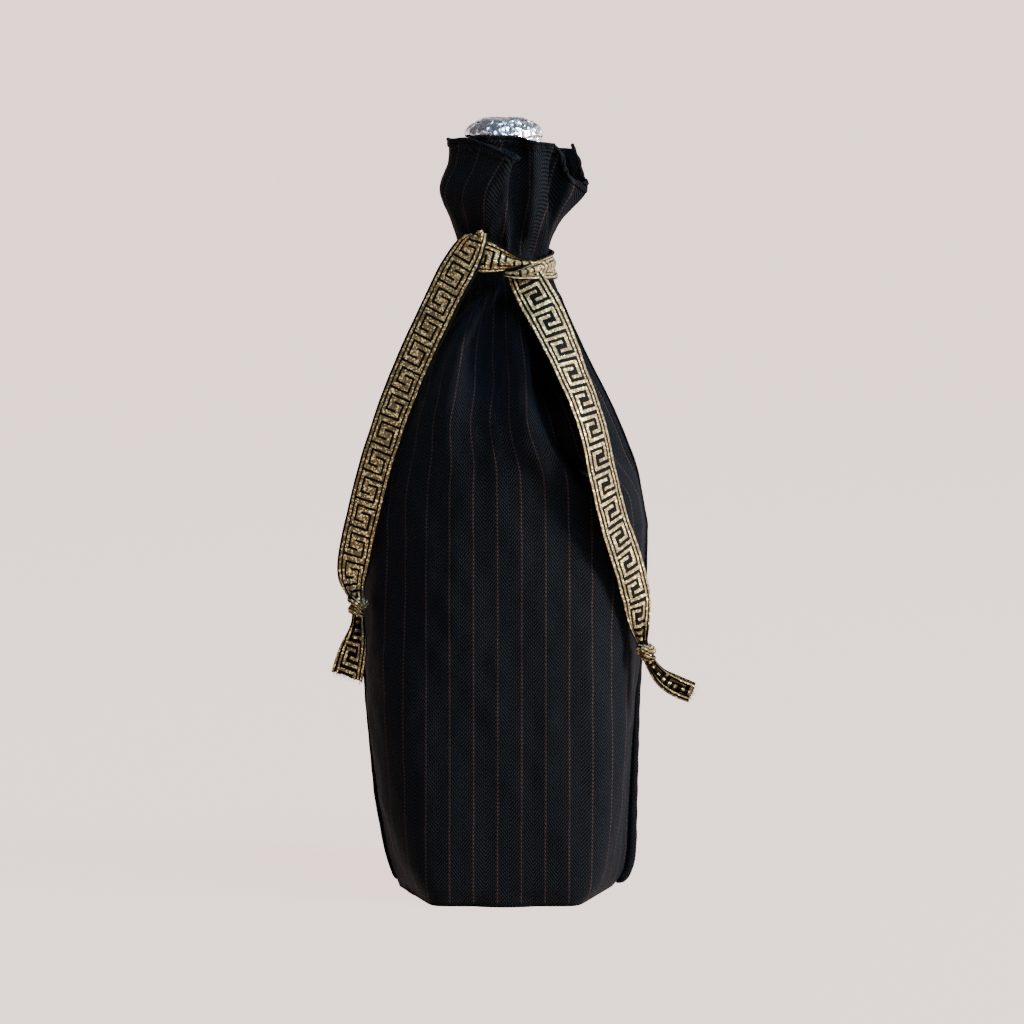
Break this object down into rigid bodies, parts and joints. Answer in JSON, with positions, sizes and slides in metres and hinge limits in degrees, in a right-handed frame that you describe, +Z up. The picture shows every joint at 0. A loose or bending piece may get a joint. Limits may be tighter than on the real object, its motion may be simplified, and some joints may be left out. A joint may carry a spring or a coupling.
{
  "type": "wine bottle gift bag",
  "caption": "Boxed cloth gift bag gathered over a foil-topped bottle and tied at the neck with a patterned ribbon whose knotted tails hang down the front.",
  "frame": {"origin": "centre of the base on the bottle's axis, on the surface the bag stands on", "axes": "+Z up along the bottle, -Y towards the front where the ribbon is knotted, +X to the viewer's right"},
  "size_m": [0.1417, 0.082, 0.3003],
  "materials": {
    "suiting": "woven herringbone suiting with dotted pinstripes",
    "suiting_seams": "woven herringbone suiting with dotted pinstripes",
    "thread": "spun sewing thread",
    "ribbon": "jacquard ribbon with metallic yarn",
    "bottle_glass": "dark green bottle glass",
    "cork": "natural cork",
    "foil": "crumpled satin foil"
  },
  "bodies": {
    "bag": {"front_panel": "suiting", "back_panel": "suiting", "base_panel": "suiting", "base_seam": "suiting_seams", "left_side_seam": "suiting_seams", "right_side_seam": "suiting_seams", "front_hem": "suiting_seams", "back_hem": "suiting_seams", "hem_thread": "thread", "left_seam_thread": "thread", "right_seam_thread": "thread", "neck_wrap": "ribbon", "knot_under_band": "ribbon", "knot_over_band": "ribbon"},
    "bottle": {"bottle_glass": "bottle_glass", "cork": "cork", "capsule_skirt": "foil", "capsule_disc": "foil"},
    "left_tail": {"left_tail": "ribbon", "left_stopper_knot": "ribbon"},
    "left_tip": {"left_tip": "ribbon"},
    "right_tail": {"right_tail": "ribbon", "right_stopper_knot": "ribbon"},
    "right_tip": {"right_tip": "ribbon"}
  },
  "joints": [
    {"name": "bottle_turn", "type": "hinge", "parent": "bag", "child": "bottle", "pos_m": [0, 0, 0.15], "axis": [0, 0, 1], "range_deg": [-180, 180]},
    {"name": "left_tail_lift", "type": "hinge", "parent": "bag", "child": "left_tail", "pos_m": [-0.0095, -0.0245, 0.256], "axis": [-0.7539, 0.4843, 0.444], "range_deg": [0, 65]},
    {"name": "left_tip_flick", "type": "hinge", "parent": "left_tail", "child": "left_tip", "pos_m": [-0.0563, -0.022, 0.1098], "axis": [-0.8555, 0.5049, 0.1152], "range_deg": [-5, 50], "stiffness_Nm_per_rad": 0.0002},
    {"name": "right_tail_lift", "type": "hinge", "parent": "bag", "child": "right_tail", "pos_m": [0.01, -0.025, 0.24], "axis": [-0.8174, -0.4247, -0.3892], "range_deg": [0, 65]},
    {"name": "right_tip_flick", "type": "hinge", "parent": "right_tail", "child": "right_tip", "pos_m": [0.0572, -0.0252, 0.0922], "axis": [-0.617, -0.3654, -0.697], "range_deg": [-30, 50], "stiffness_Nm_per_rad": 0.0002}
  ]
}
